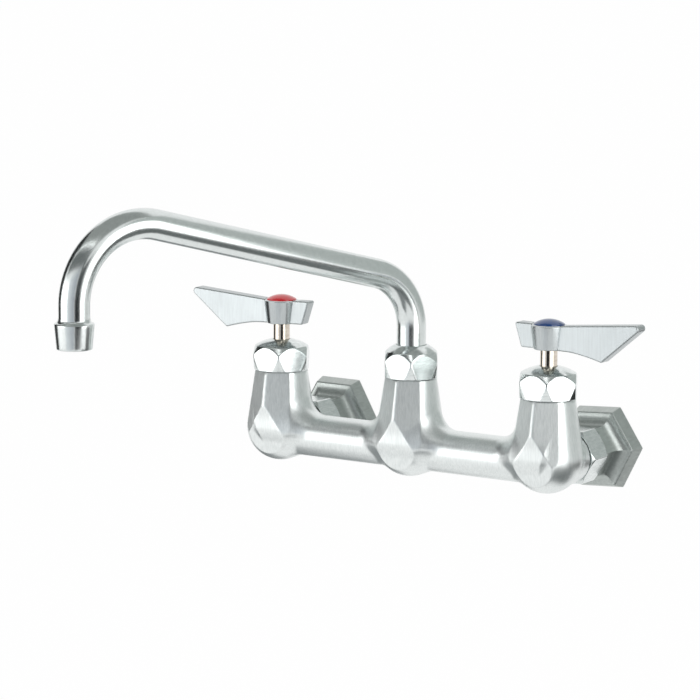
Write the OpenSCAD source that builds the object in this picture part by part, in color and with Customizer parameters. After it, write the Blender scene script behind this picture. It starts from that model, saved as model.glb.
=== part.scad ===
// Wall-mounted two-handle sink faucet with a swinging gooseneck spout.
// Millimetres, +Z up, +X to the right, +Y into the wall. The origin lies on the wall
// face, midway between the two supply inlets. The hot side is at -X, the cold at +X.

/* [Layout] */
// Distance between the two supply inlets, which is also that of the two valves
inlet_spacing = 203.2; // [180:0.1:230]
// Distance from the wall face to the axes of the valves and the spout
wall_reach = 72.7; // [70:0.1:90]

/* [Body casting] */
// Radius of the ball at the foot of each bell
bell_radius = 22.9; // [22.4:0.1:24.5]
// Height of the foot ball's centre above the cross tube's axis
foot_height = 4; // [3:0.1:5.5]
// Slope of the bell's side from the vertical, in degrees
bell_taper = 8.5; // [7:0.1:9.5]
// Height of the top face of the two valve bells
valve_bell_top = 42.1; // [40:0.1:48]
// Height of the top face of the spout bell
spout_bell_top = 46; // [44:0.1:52]
// How far the two front facets lie inside the bell's side
facet_inset = 1.1; // [0.8:0.1:1.6]
// Turn of each front facet away from straight ahead, in degrees
facet_angle = 30; // [27:1:33]
// How far the lower front facet lies inside the foot ball
gem_depth = 4.9; // [4:0.1:5.8]
// Forward lean of the lower front facet, in degrees
gem_slope = 11.5; // [9:0.5:13]
// Outer radius of the cross tube
cross_radius = 14; // [13:0.1:15]
// Radius of the waterway in the cross tube
cross_bore = 9.5; // [8:0.1:10.5]
// Distance from a bell's axis to the foot of the web that rises from the cross tube
web_reach = 26.5; // [24:0.1:29]
// Slope of that web from the horizontal, in degrees
web_slope = 44; // [38:1:50]
// Radius of the web's rounded back
web_radius = 11; // [10:0.1:12]
// Length over which the cross tube swells into a bell
neck_length = 20; // [18:0.5:24]
// Radius of the round boss at the back of each valve bell
boss_radius = 17; // [16.5:0.1:18.5]
// Radius of the waterway that comes in from the back
inlet_bore = 7.5; // [6:0.1:8]

/* [Threads and fits] */
// Radius of the male threads on the bells
thread_radius = 14.4; // [14:0.1:14.8]
// Height of the male threads on the bells
thread_height = 11; // [10:0.1:12]
// Radius of the male thread on each inlet boss
union_thread = 13.4; // [13:0.1:13.8]
// Radial gap of a thread or a seated piece
thread_gap = 0.15; // [0.1:0.01:0.25]
// Radial gap of a turning fit
turning_gap = 0.05; // [0.02:0.01:0.08]
// Gap between neighbouring pieces that turn past each other
pass_gap = 0.3; // [0.2:0.05:0.5]
// Visible gap under each dome nut
nut_gap = 0.5; // [0.3:0.1:1]

/* [Dome nuts] */
// Width of the valve nuts across their flats
valve_nut_across = 35.6; // [34.5:0.1:37]
// Height of the valve nuts
valve_nut_height = 20.1; // [19:0.1:22]
// Width of the spout nut across its flats
spout_nut_across = 34; // [33.6:0.1:36]
// Height of the spout nut
spout_nut_height = 21.1; // [20:0.1:23]
// How much a nut's foot is smaller in radius than its corners
nut_bevel = 1.7; // [1:0.1:2]
// Radius of the flat rim at the top of a nut's dome, past its hole
dome_rim = 1; // [0.6:0.1:2]
// Turn of the tightened hot nut, in degrees
hot_nut_turn = -1.6; // [-30:0.1:30]
// Turn of the tightened cold nut, in degrees
cold_nut_turn = -4.1; // [-30:0.1:30]
// Turn of the tightened spout nut, in degrees
spout_nut_turn = 1.5; // [-30:0.1:30]

/* [Valve cartridges] */
// Height of the valve seat in the body
seat_height = 16; // [15:0.1:17.5]
// Radius of the hole in the valve seat
seat_bore = 6; // [5:0.1:6.5]
// Thickness of the rubber seat washer
seat_washer = 2; // [1.5:0.1:2.5]
// Radius of the cartridge's upper barrel
cartridge_radius = 11.4; // [11.1:0.1:11.6]
// Radius of the cartridge's lower barrel
cartridge_foot = 9.8; // [9.4:0.1:10.2]
// Height of the lower barrel
cartridge_foot_height = 18; // [17:0.1:19]
// Wall of the lower barrel
cartridge_wall = 1.5; // [1.2:0.1:1.8]
// Thickness of the flange that the dome nut clamps
cartridge_flange = 2.4; // [2:0.1:3]
// Thickness of each ceramic disc
disc_thickness = 4; // [3:0.1:4.5]
// Radius of the flow ports
port_radius = 2.2; // [1.5:0.1:2.6]
// Radius of the windows in the cartridge's lower barrel
window_radius = 3.2; // [2.5:0.1:3.6]
// Radius of the valve stem
stem_radius = 5.5; // [5:0.1:5.8]
// Thickness of the cords of the O-rings
seal_cord = 1.8; // [1.6:0.1:2]

/* [Levers] */
// Height of the lever's hub above the cross tube's axis
hub_base = 73.4; // [71:0.1:78]
// Height of the hub from its lower to its upper face
hub_height = 15.7; // [14.5:0.1:18]
// Radius of the hub at its lower face
hub_radius_low = 9.9; // [9.4:0.1:10.5]
// Radius of the hub at its upper face
hub_radius_top = 11.8; // [11.2:0.1:13]
// Reach of the blade's tip from the stem's axis, before it is rounded
blade_reach = 70.6; // [62:0.1:80]
// Reach of the blade's lower corner
blade_corner = 39.8; // [36:0.1:46]
// Reach of the short end behind the stem
stub_reach = 22.8; // [20:0.1:28]
// Rise of the blade's tip above the hub's upper face
tip_rise = 5.4; // [4:0.1:7]
// Drop of the blade's lower corner below the hub's lower face
corner_drop = 5.1; // [3:0.1:7]
// Thickness of the blade at the hub
blade_thickness = 9; // [8:0.1:10.5]
// Thickness that the blade gains for each millimetre of reach
blade_flare = 0.02; // [0.01:0.01:0.04]
// Turn of the hot lever towards the front, in degrees
hot_lever_turn = 5.4; // [0:0.1:10]
// Turn of the cold lever towards the front, in degrees
cold_lever_turn = 0.6; // [0:0.1:10]
// Radius of the coloured index button
button_radius = 10; // [9:0.1:10.2]
// Height of the button's dome
button_dome = 3.6; // [2.5:0.1:4.5]
// Depth of the recess that takes the button and the screw
hub_recess = 5.6; // [5:0.1:6.5]
// Radius of the lever screw's shank
screw_radius = 2; // [1.5:0.1:2.2]
// Length of the lever screw's shank
screw_length = 13; // [11:0.1:16]

/* [Spout] */
// Reach of the spout from the riser's axis to the outlet's axis
spout_reach = 254; // [200:1:305]
// Outer radius of the spout tube
spout_radius = 9.525; // [9:0.005:9.6]
// Wall of the spout tube
spout_wall = 1.1; // [0.9:0.1:1.5]
// Height at which the sloping arm would cross the riser's axis
arm_height = 108.9; // [104:0.1:130]
// Slope of the arm above the horizontal, in degrees
arm_slope = 13.8; // [8:0.1:18]
// Bend radius at the riser
riser_bend = 38.6; // [34:0.1:42]
// Bend radius over the outlet
outlet_bend = 46.8; // [38:0.1:50]
// Height of the outlet's lower rim above the inlets
outlet_height = 86.2; // [60:0.1:90]
// Turn of the spout to the left of straight ahead, in degrees
spout_turn = 20.4; // [0:0.1:60]
// Height of the collar round the outlet
collar_height = 15.3; // [14:0.1:18]
// Radius of the collar at its lower rim
collar_radius_low = 10.8; // [10:0.1:11.1]
// Radius of the collar at its shoulder
collar_radius_top = 12.2; // [11.2:0.1:12.5]
// Height of the cone that runs from the shoulder up to the tube
collar_fillet = 2.8; // [2:0.1:5]
// Depth of the open mouth under the stream straightener
mouth_depth = 6.3; // [5:0.1:7]
// Radius of the open mouth
mouth_radius = 7.4; // [6.5:0.1:7.6]
// Thickness of the stream straightener
straightener_height = 3; // [2:0.1:3.5]
// Radius of the ferrule on which the spout turns
ferrule_radius = 12.2; // [12:0.1:12.4]
// Height of the ferrule's lower end
ferrule_base = 24; // [22:0.1:28]
// Thickness of the ferrule's collar
ferrule_collar = 2; // [1.6:0.1:2.6]
// Thickness of the plastic glide ring over that collar
glide_ring = 1.2; // [1:0.1:1.8]

/* [Inlets] */
// Width of the hexagonal wall flange across its flats
flange_across = 52.8; // [50:0.1:58]
// Depth of the flange's tapered band
band_depth = 9; // [7:0.1:11]
// How much narrower each side of the band is at its front
band_taper = 2.4; // [1:0.1:3]
// Width of the flange's neck across its flats
neck_across = 31.2; // [30:0.1:33]
// Radius of the hollow curve from the band to the neck
cove_radius = 7.6; // [6:0.1:8]
// Depth of the whole flange from the wall
flange_depth = 25; // [22:0.1:28]
// Turn of the hot flange, in degrees
hot_flange_turn = 0.3; // [-30:0.1:30]
// Turn of the cold flange, in degrees
cold_flange_turn = -3.5; // [-30:0.1:30]
// Radius of the tapped supply hole, for a half-inch pipe
supply_radius = 9.2; // [8.8:0.05:9.6]
// Depth of the tapped supply hole
supply_depth = 16; // [14:0.1:17]
// Width of the union nut across its flats
union_across = 34; // [33:0.1:36]
// Length of the union nut
union_length = 19.8; // [18:0.1:22]
// Gap between the union nut and the pieces at its two ends
union_gap = 0.9; // [0.5:0.1:1.2]
// Radius of the tailpiece's tube
tail_radius = 10.8; // [10.4:0.1:11.2]
// Radius of the tailpiece's waterway
tail_bore = 7.5; // [6.5:0.1:8]
// Radius of the tailpiece's shoulder
tail_shoulder = 13; // [12.6:0.1:13.2]
// Thickness of the tailpiece's shoulder
shoulder_length = 4; // [3:0.1:5]
// Thickness of the union washer
union_washer = 2; // [1.5:0.1:2.5]
// Length of the male thread on the inlet boss
union_thread_length = 6; // [5:0.1:7]

/* [Hidden] */
$fn = 72;

hot = -1;
cold = 1;
valve_x = inlet_spacing / 2;
axis_y = -wall_reach;
hex_ratio = 1 / cos(30);        // corner radius of a hexagon over its inner radius
overshoot = 1;                  // how far a cutting tool runs past the face it opens
cut_size = 160;                 // side of the blocks that cut flat faces

// Bell: the foot ball runs almost tangentially into a cone
cone_sink = 0.06;               // how far the cone's foot lies inside the ball
cone_start = foot_height + bell_radius * sin(bell_taper);
cone_foot = bell_radius * cos(bell_taper) - cone_sink;
function cone_radius(z) = cone_foot - (z - cone_start) * tan(bell_taper);
foot_drop = bell_radius - foot_height;

// Inlet stack, counted from the wall
union_back = flange_depth + union_gap;
union_front = union_back + union_length;
boss_face = union_front + union_gap;
union_thread_end = boss_face - union_thread_length;
tail_face = union_thread_end - union_washer;
tail_step = tail_face - shoulder_length;

// Valve stack, counted up from the seat
cartridge_base = seat_height + seat_washer;
valve_thread_top = valve_bell_top + thread_height;
valve_clamp = valve_thread_top + cartridge_flange;
valve_bore = cartridge_radius + turning_gap;
disc_radius = cartridge_foot - cartridge_wall - turning_gap;
turning_base = cartridge_base + disc_thickness + 2 * turning_gap;
stem_base = turning_base + disc_thickness;
stem_foot_height = 4;
foot_ceiling = cartridge_base + cartridge_foot_height;
bonnet_seal_drop = 5;
stem_seal_drop = 6;
bonnet_seal_height = valve_thread_top - bonnet_seal_drop;
stem_seal_height = valve_thread_top - stem_seal_drop;
port_circle = disc_radius / 2;
window_height = stem_base + window_radius;

// Lever
hub_top = hub_base + hub_height;
recess_floor = hub_top - hub_recess;
web_thickness = 2.4;
stem_top = recess_floor - web_thickness - pass_gap;
hub_wall = 3.2;
recess_radius = hub_radius_top - hub_wall;
screw_head_radius = 4;
screw_head_height = 2.6;
rim_bevel = 0.6;                // height of the bevel round the hub's upper face
rim_inset = 1.6;                // how far that bevel comes in
blade_start = 8;                // where the blade's upper edge starts to rise
blade_dip = 0.1;                // how far it starts below the hub's upper face
blade_sink = 0.3;               // how far the blade hangs below the hub's lower face
quarter_drop = 0.12;            // shares of the corner's drop, a quarter and half of the way out
half_drop = 0.36;
stub_proud = 0.3;
stub_lift = 0.2;
stub_slant = 4.9;
tip_radius = 2.4;
tip_steps = 6;

// Spout, in its own frame: the arm runs along +X before the spout is turned
slope_shift = spout_reach * tan(arm_slope);
riser_tangent = riser_bend * tan((90 - arm_slope) / 2);
outlet_tangent = outlet_bend * tan((90 + arm_slope) / 2);
riser_top = arm_height - riser_tangent;
outlet_top = arm_height + slope_shift - outlet_tangent;
arm_length = spout_reach / cos(arm_slope) - riser_tangent - outlet_tangent;
bend_swell = 0.03;              // widening of the tube in its bends
bend_overlap = 0.5;             // how far the straight lengths run into the bends
tube_lap = 6;                   // how far the ferrule runs on below the tube
tube_base = ferrule_base + tube_lap;
tube_end = outlet_height + mouth_depth + straightener_height;
spout_thread_top = spout_bell_top + thread_height;
ferrule_top = spout_thread_top + pass_gap + ferrule_collar;
glide_base = ferrule_top + pass_gap;
spout_clamp = glide_base + glide_ring;
spout_bore = ferrule_radius + turning_gap;
groove_ease = 0.1;
seal_groove_depth = seal_cord + groove_ease;
lower_seal = ferrule_base + 8;
upper_seal = ferrule_base + 16;

// Dome nuts: heights of the widest and the rounded part, as shares of the nut's height
nut_waist = 0.5;
nut_crown = 0.79;
nut_ease = 0.25;                // how far the cones clear the hexagon's corners and flats

// ---- shared shapes ----

// A round ring or sleeve standing on z = 0
module sleeve(outer, inner, height) {
    difference() {
        cylinder(h = height, r = outer);
        translate([0, 0, -overshoot])
            cylinder(h = height + 2 * overshoot, r = inner);
    }
}

// An O-ring centred on z = 0
module o_ring(inner, cord) {
    rotate_extrude()
        translate([inner + cord / 2, 0])
            circle(d = cord, $fn = 24);
}

// Places a piece on a valve's axis; side is hot or cold
module at_valve(side) {
    translate([side * valve_x, axis_y, 0])
        children();
}

// Turns +Z to face the wall and sets z = 0 on a plane this far out from the wall
module from_wall(side, distance) {
    translate([side * valve_x, -distance, 0])
        rotate([-90, 0, 0])
            children();
}

// Places a piece on the spout's axis, turned with the spout; +X runs along the arm
module at_spout() {
    translate([0, axis_y, 0])
        rotate([0, 0, -90 - spout_turn])
            children();
}

// ---- body casting ----

module bell(top) {
    translate([0, 0, foot_height])
        sphere(r = bell_radius);
    translate([0, 0, cone_start])
        cylinder(h = top - cone_start, r1 = cone_radius(cone_start), r2 = cone_radius(top));
}

// Extra metal in front of the cone, from which the two facets form a ridge
module prow(top) {
    ridge_room = 3;
    wedge_turn = 25;
    intersection() {
        translate([0, 0, cone_start])
            cylinder(
                h = top - cone_start,
                r1 = cone_radius(cone_start) + ridge_room,
                r2 = cone_radius(top) + ridge_room
            );
        linear_extrude(height = top)
            polygon([
                [0, 0],
                [-cut_size * sin(wedge_turn), -cut_size * cos(wedge_turn)],
                [cut_size * sin(wedge_turn), -cut_size * cos(wedge_turn)]
            ]);
    }
}

// A block whose back face is a plane in front of the bell, leaning by an angle
module front_block(distance, lean) {
    translate([0, -distance, 0])
        rotate([lean, 0, 0])
            translate([-cut_size / 2, -cut_size, -cut_size / 2])
                cube(cut_size);
}

module faceted_bell(top) {
    difference() {
        union() {
            bell(top);
            prow(top);
        }
        for (side = [hot, cold])
            rotate([0, 0, side * facet_angle])
                front_block(cone_radius(0) - facet_inset, -bell_taper);
        front_block(bell_radius - gem_depth, gem_slope);
    }
}

// Beside a bell the cross tube swells, and a sloping web rises from it to the cone
module junction(side) {
    neck_sink = 0.5;
    web_length = 22;
    web_end = 1.5;
    rotate([0, side * 90, 0])
        cylinder(h = neck_length, r1 = foot_drop - neck_sink, r2 = cross_radius - thread_gap);
    translate([side * web_reach, 0, cross_radius])
        rotate([0, side * (90 + web_slope), 0])
            translate([side * web_radius, 0, web_end - web_length])
                cylinder(h = web_length, r = web_radius);
}

module valve_bell(side) {
    boss_swell = 2;
    at_valve(side) {
        faceted_bell(valve_bell_top);
        junction(-side);
        translate([0, 0, valve_bell_top - overshoot])
            cylinder(h = thread_height + overshoot, r = thread_radius);
        rotate([-90, 0, 0])
            cylinder(h = wall_reach - boss_face, r1 = boss_radius + boss_swell, r2 = boss_radius);
        rotate([-90, 0, 0])
            cylinder(h = wall_reach - union_thread_end, r = union_thread);
    }
}

module spout_bell() {
    translate([0, axis_y, 0]) {
        faceted_bell(spout_bell_top);
        junction(hot);
        junction(cold);
        translate([0, 0, spout_bell_top - overshoot])
            cylinder(h = thread_height + overshoot, r = thread_radius);
    }
}

// Way in from the back, up through the seat, and down a slanted port to the cross tube
module valve_waterway(side) {
    port_reach = 26;
    port_foot = 11;
    port_bore = 5;
    port_rise = seat_height + port_bore;
    inlet_start = seat_bore + overshoot;
    slant = atan((port_reach - port_foot) / port_rise);
    at_valve(side) {
        rotate([-90, 0, 0])
            translate([0, 0, -inlet_start])
                cylinder(h = wall_reach + inlet_start, r = inlet_bore);
        cylinder(h = seat_height + overshoot, r = seat_bore);
        translate([0, 0, seat_height])
            cylinder(h = valve_thread_top, r = valve_bore);
        translate([-side * port_reach, 0, 0])
            rotate([0, side * slant, 0])
                cylinder(h = port_rise / cos(slant), r = port_bore);
    }
}

module spout_waterway() {
    chamber_radius = 9.8;
    chamber_floor = -9;
    bore_relief = 2;
    translate([0, axis_y, 0]) {
        translate([0, 0, ferrule_base - bore_relief])
            cylinder(h = spout_thread_top, r = spout_bore);
        translate([0, 0, chamber_floor])
            cylinder(h = ferrule_base - chamber_floor, r = chamber_radius);
    }
}

module body() {
    tube_start = 16;
    color("silver")
        difference() {
            union() {
                translate([-valve_x, axis_y, 0])
                    rotate([0, 90, 0])
                        cylinder(h = inlet_spacing, r = cross_radius);
                valve_bell(hot);
                valve_bell(cold);
                spout_bell();
            }
            translate([tube_start - valve_x, axis_y, 0])
                rotate([0, 90, 0])
                    cylinder(h = inlet_spacing - 2 * tube_start, r = cross_bore);
            valve_waterway(hot);
            valve_waterway(cold);
            spout_waterway();
        }
}

// ---- valves ----

// Carries the ceramic discs and guides the stem
module cartridge(side) {
    groove = seal_groove_depth;
    barrel_height = valve_thread_top - foot_ceiling;
    color("goldenrod")
        at_valve(side)
            difference() {
                union() {
                    translate([0, 0, cartridge_base])
                        cylinder(h = cartridge_foot_height + overshoot, r = cartridge_foot);
                    translate([0, 0, foot_ceiling])
                        cylinder(h = barrel_height, r = cartridge_radius);
                    translate([0, 0, valve_thread_top])
                        cylinder(h = cartridge_flange, r = thread_radius - thread_gap);
                }
                translate([0, 0, cartridge_base - overshoot])
                    cylinder(
                        h = cartridge_foot_height + overshoot,
                        r = cartridge_foot - cartridge_wall
                    );
                cylinder(h = valve_clamp + overshoot, r = stem_radius + turning_gap);
                translate([0, 0, window_height])
                    rotate([0, 90, 0])
                        cylinder(h = 4 * cartridge_foot, r = window_radius, center = true);
                translate([0, 0, bonnet_seal_height - groove / 2])
                    sleeve(cartridge_radius + overshoot, cartridge_radius - groove, groove);
                translate([0, 0, stem_seal_height - groove / 2])
                    cylinder(h = groove, r = stem_radius + groove);
            }
}

module seat_washer_piece(side) {
    color("dimgray")
        at_valve(side)
            translate([0, 0, seat_height])
                sleeve(cartridge_foot, seat_bore + pass_gap, seat_washer);
}

// A ceramic disc with two ports, drilled on opposite sides of the axis
module ceramic_disc(base, turn) {
    translate([0, 0, base])
        difference() {
            cylinder(h = disc_thickness, r = disc_radius);
            for (half = [0, 180])
                rotate([0, 0, half + turn])
                    translate([port_circle, 0, -overshoot])
                        cylinder(h = disc_thickness + 2 * overshoot, r = port_radius);
        }
}

module fixed_disc(side) {
    color("white")
        at_valve(side)
            ceramic_disc(cartridge_base, 0);
}

// Stands a quarter turn away from the fixed disc while the valve is shut
module turning_disc(side) {
    color("ivory")
        at_valve(side)
            ceramic_disc(turning_base, 90);
}

module stem(side) {
    tapped_depth = screw_length + pass_gap;
    color("wheat")
        at_valve(side)
            difference() {
                union() {
                    translate([0, 0, stem_base])
                        cylinder(h = stem_top - stem_base, r = stem_radius);
                    translate([0, 0, stem_base])
                        cylinder(h = stem_foot_height, r = stem_radius + overshoot);
                }
                translate([0, 0, recess_floor - tapped_depth])
                    cylinder(h = tapped_depth, r = screw_radius + turning_gap);
            }
}

module stem_seal(side) {
    color("black")
        at_valve(side)
            translate([0, 0, stem_seal_height])
                o_ring(stem_radius + turning_gap, seal_cord);
}

module bonnet_seal(side) {
    color("black")
        at_valve(side)
            translate([0, 0, bonnet_seal_height])
                o_ring(valve_bore - turning_gap / 2 - seal_cord, seal_cord - turning_gap);
}

// A hexagonal nut with a bevelled foot and a domed top, standing on z = 0
module dome_nut(across, height, hole, clamp, turn) {
    flat = across / 2;
    corner = flat * hex_ratio;
    waist = height * nut_waist;
    waist_radius = corner + nut_ease;
    crown = height * nut_crown;
    crown_radius = flat - nut_ease;
    lean = (waist_radius - crown_radius) / (crown - waist);
    rim = hole + dome_rim;
    ball_drop = (pow(crown_radius, 2) - pow(rim, 2) + pow(crown, 2) - pow(height, 2))
        / (2 * (crown - height));
    ball = sqrt(pow(rim, 2) + pow(height - ball_drop, 2));
    difference() {
        intersection() {
            rotate([0, 0, turn])
                cylinder(h = height, r = corner, $fn = 6);
            union() {
                cylinder(h = waist, r1 = corner - nut_bevel, r2 = waist_radius);
                translate([0, 0, waist])
                    cylinder(
                        h = height - waist,
                        r1 = waist_radius,
                        r2 = waist_radius - lean * (height - waist)
                    );
            }
            translate([0, 0, ball_drop])
                sphere(r = ball);
        }
        translate([0, 0, -overshoot])
            cylinder(h = clamp + overshoot, r = thread_radius + thread_gap);
        cylinder(h = height + overshoot, r = hole);
    }
}

module valve_nut(side, turn) {
    base = valve_bell_top + nut_gap;
    color("lightgray")
        at_valve(side)
            translate([0, 0, base])
                dome_nut(
                    valve_nut_across,
                    valve_nut_height,
                    stem_radius + pass_gap,
                    valve_clamp - base,
                    turn
                );
}

// ---- levers ----

// Side view of the blade: x is the reach from the stem, y the height over the hub's base
module blade_side() {
    under_start = hub_radius_low + 5;
    under_run = blade_corner - under_start;
    tip_top = hub_height + tip_rise;
    top_angle = atan2(tip_rise + blade_dip, blade_reach - blade_start);
    end_angle = atan2(tip_top + corner_drop, blade_reach - blade_corner);
    half_angle = (end_angle - top_angle) / 2;
    back = tip_radius / sin(half_angle);
    mid_x = blade_reach - back * cos(top_angle + half_angle);
    mid_y = tip_top - back * sin(top_angle + half_angle);
    sweep = 180 - end_angle + top_angle;
    tip = [
        for (i = [0 : tip_steps])
            let (a = top_angle + 90 - sweep * i / tip_steps)
                [mid_x + tip_radius * cos(a), mid_y + tip_radius * sin(a)]
    ];
    polygon(concat(
        [[-stub_reach, hub_height + stub_proud], [blade_start, hub_height - blade_dip]],
        tip,
        [
            [blade_corner, -corner_drop],
            [under_start + under_run / 2, -half_drop * corner_drop],
            [under_start + under_run / 4, -quarter_drop * corner_drop],
            [under_start, -blade_sink],
            [stub_slant - stub_reach, stub_lift]
        ]
    ));
}

// Plan view of the blade: it grows thicker away from the hub on both sides
module blade_plan() {
    half = blade_thickness / 2;
    tip_half = half + blade_flare * blade_reach / 2;
    stub_half = half + blade_flare * stub_reach / 2;
    polygon([
        [-stub_reach, -stub_half],
        [0, -half],
        [blade_reach, -tip_half],
        [blade_reach, tip_half],
        [0, half],
        [-stub_reach, stub_half]
    ]);
}

module lever(side, turn) {
    color("lightgray")
        at_valve(side)
            difference() {
                union() {
                    translate([0, 0, hub_base])
                        cylinder(h = hub_height - rim_bevel, r1 = hub_radius_low, r2 = hub_radius_top);
                    translate([0, 0, hub_top - rim_bevel])
                        cylinder(h = rim_bevel, r1 = hub_radius_top, r2 = hub_radius_top - rim_inset);
                    rotate([0, 0, 90 - side * 90 - side * turn])
                        intersection() {
                            translate([0, 0, hub_base])
                                rotate([90, 0, 0])
                                    linear_extrude(height = 4 * blade_thickness, center = true)
                                        blade_side();
                            translate([0, 0, hub_base - hub_height])
                                linear_extrude(height = 3 * hub_height)
                                    blade_plan();
                        }
                }
                translate([0, 0, hub_top])
                    cylinder(h = hub_height, r = hub_radius_top);
                translate([0, 0, recess_floor])
                    cylinder(h = hub_height, r = recess_radius);
                translate([0, 0, hub_base - hub_height])
                    cylinder(
                        h = stem_top + pass_gap - hub_base + hub_height,
                        r = stem_radius + turning_gap
                    );
                translate([0, 0, hub_base])
                    cylinder(h = hub_height, r = screw_radius + thread_gap);
            }
}

module lever_screw(side) {
    slot_width = 1;
    slot_depth = 1.2;
    color("gray")
        at_valve(side)
            translate([0, 0, recess_floor])
                difference() {
                    union() {
                        translate([0, 0, -screw_length])
                            cylinder(h = screw_length + overshoot, r = screw_radius);
                        cylinder(h = screw_head_height, r = screw_head_radius);
                    }
                    translate([0, 0, screw_head_height])
                        cube([4 * screw_head_radius, slot_width, 2 * slot_depth], center = true);
                }
}

module index_button(side, tint) {
    plug_height = hub_recess - screw_head_height - pass_gap;
    ball = (pow(button_radius, 2) + pow(button_dome, 2)) / (2 * button_dome);
    color(tint)
        at_valve(side)
            translate([0, 0, hub_top]) {
                intersection() {
                    translate([0, 0, button_dome - ball])
                        sphere(r = ball);
                    cylinder(h = button_dome + overshoot, r = button_radius);
                }
                translate([0, 0, -plug_height])
                    cylinder(h = plug_height + overshoot, r = recess_radius - thread_gap);
            }
}

// ---- inlets ----

// A block whose inner face starts at a distance and a height, and leans in over a hexagon's side
module side_block(distance, height, lean, depth, reach) {
    translate([distance, 0, height])
        rotate([0, -lean, 0])
            translate([0, -cut_size / 2, -depth])
                cube([cut_size, cut_size, depth + reach]);
}

// The flange's hexagonal outside, standing on z = 0: tapered band, cove and neck
module flange_blank() {
    corner = 1 / cos(30);
    flat = flange_across / 2;
    band = flat - band_taper;
    neck = neck_across / 2;
    neck_step = 0.3;
    lip = 0.5;
    lip_reach = 3;
    cove_side = neck + neck_step + cove_radius;
    cove_end = band_depth + lip + cove_radius;
    difference() {
        cylinder(h = cove_end, r = flat * corner, $fn = 6);
        for (step = [0:5])
            rotate([0, 0, 30 + step * 60]) {
                side_block(flat, 0, atan(band_taper / band_depth), cut_size, cut_size);
                side_block(band, band_depth, atan((band - cove_side) / lip), 0, lip_reach);
                translate([cove_side, 0, cove_end])
                    rotate([90, 0, 0])
                        cylinder(h = cut_size, r = cove_radius, center = true);
            }
    }
    translate([0, 0, band_depth])
        cylinder(h = flange_depth - band_depth, r = neck * corner, $fn = 6);
}

// A hexagonal wall flange with a tapped supply hole from the back
module wall_flange(side, turn) {
    color("silver")
        from_wall(side, 0)
            rotate([180, 0, turn])
                difference() {
                    flange_blank();
                    translate([0, 0, -overshoot])
                        cylinder(h = supply_depth + overshoot, r = supply_radius);
                    translate([0, 0, supply_depth - overshoot])
                        cylinder(h = flange_depth, r = tail_bore);
                    translate([0, 0, supply_depth + thread_gap])
                        cylinder(h = flange_depth, r = tail_radius + thread_gap);
                }
}

// The tube between the flange and the body, with a shoulder that the union nut pulls on
module tailpiece(side) {
    color("tan")
        from_wall(side, tail_face)
            difference() {
                union() {
                    cylinder(h = shoulder_length, r = tail_shoulder);
                    cylinder(h = tail_face - supply_depth - 2 * thread_gap, r = tail_radius);
                }
                translate([0, 0, -overshoot])
                    cylinder(h = tail_face + overshoot, r = tail_bore);
            }
}

module union_washer_piece(side) {
    color("firebrick")
        from_wall(side, union_thread_end)
            sleeve(tail_shoulder, inlet_bore + pass_gap, union_washer);
}

module union_nut(side) {
    flat = union_across / 2;
    corner = flat * hex_ratio;
    bevel = 2;
    color("silver")
        from_wall(side, union_front)
            difference() {
                intersection() {
                    cylinder(h = union_length, r = corner, $fn = 6);
                    union() {
                        cylinder(h = bevel, r1 = corner - bevel, r2 = corner);
                        translate([0, 0, bevel])
                            cylinder(h = union_length - 2 * bevel, r = corner);
                        translate([0, 0, union_length - bevel])
                            cylinder(h = bevel, r1 = corner, r2 = corner - bevel);
                    }
                }
                translate([0, 0, -overshoot])
                    cylinder(h = union_front - tail_step + overshoot, r = union_thread + thread_gap);
                cylinder(h = union_length + overshoot, r = tail_radius + thread_gap);
            }
}

// ---- spout ----

// One bend of the tube, a little wider than the straight lengths that run into it
module bend(centre_radius, angle, radius) {
    rotate_extrude(angle = angle)
        translate([centre_radius, 0])
            circle(r = radius + bend_swell);
}

// The bent line of the tube, swept with a round section of one radius
module bent_rod(radius) {
    translate([0, 0, tube_base])
        cylinder(h = riser_top - tube_base + bend_overlap, r = radius);
    translate([riser_bend, 0, riser_top])
        rotate([90, 0, 0])
            rotate([0, 0, 90 + arm_slope])
                bend(riser_bend, 90 - arm_slope, radius);
    translate([
        riser_bend * (1 - sin(arm_slope)),
        0,
        riser_top + riser_bend * cos(arm_slope)
    ])
        rotate([0, 90 - arm_slope, 0])
            translate([0, 0, -bend_overlap])
                cylinder(h = arm_length + 2 * bend_overlap, r = radius);
    translate([spout_reach - outlet_bend, 0, outlet_top])
        rotate([90, 0, 0])
            bend(outlet_bend, 90 + arm_slope, radius);
    translate([spout_reach, 0, tube_end])
        cylinder(h = outlet_top - tube_end + bend_overlap, r = radius);
}

module spout_tube() {
    bore = spout_radius - spout_wall;
    color("silver")
        at_spout()
            difference() {
                bent_rod(spout_radius);
                bent_rod(bore);
                translate([0, 0, tube_base - overshoot])
                    cylinder(h = 2 * overshoot, r = bore);
                translate([spout_reach, 0, tube_end - overshoot])
                    cylinder(h = 2 * overshoot, r = bore);
            }
}

module spout_collar() {
    shoulder_rim = 0.5;
    braze_wall = 0.3;
    fillet_low = collar_radius_top - shoulder_rim;
    fillet_top = spout_radius + braze_wall;
    color("silver")
        at_spout()
            translate([spout_reach, 0, outlet_height])
                difference() {
                    union() {
                        cylinder(
                            h = collar_height,
                            r1 = collar_radius_low,
                            r2 = collar_radius_top
                        );
                        translate([0, 0, collar_height])
                            cylinder(h = collar_fillet, r1 = fillet_low, r2 = fillet_top);
                    }
                    translate([0, 0, -overshoot])
                        cylinder(h = collar_height, r = mouth_radius);
                    translate([0, 0, mouth_depth])
                        cylinder(
                            h = collar_height + collar_fillet,
                            r = spout_radius + turning_gap
                        );
                }
}

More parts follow.
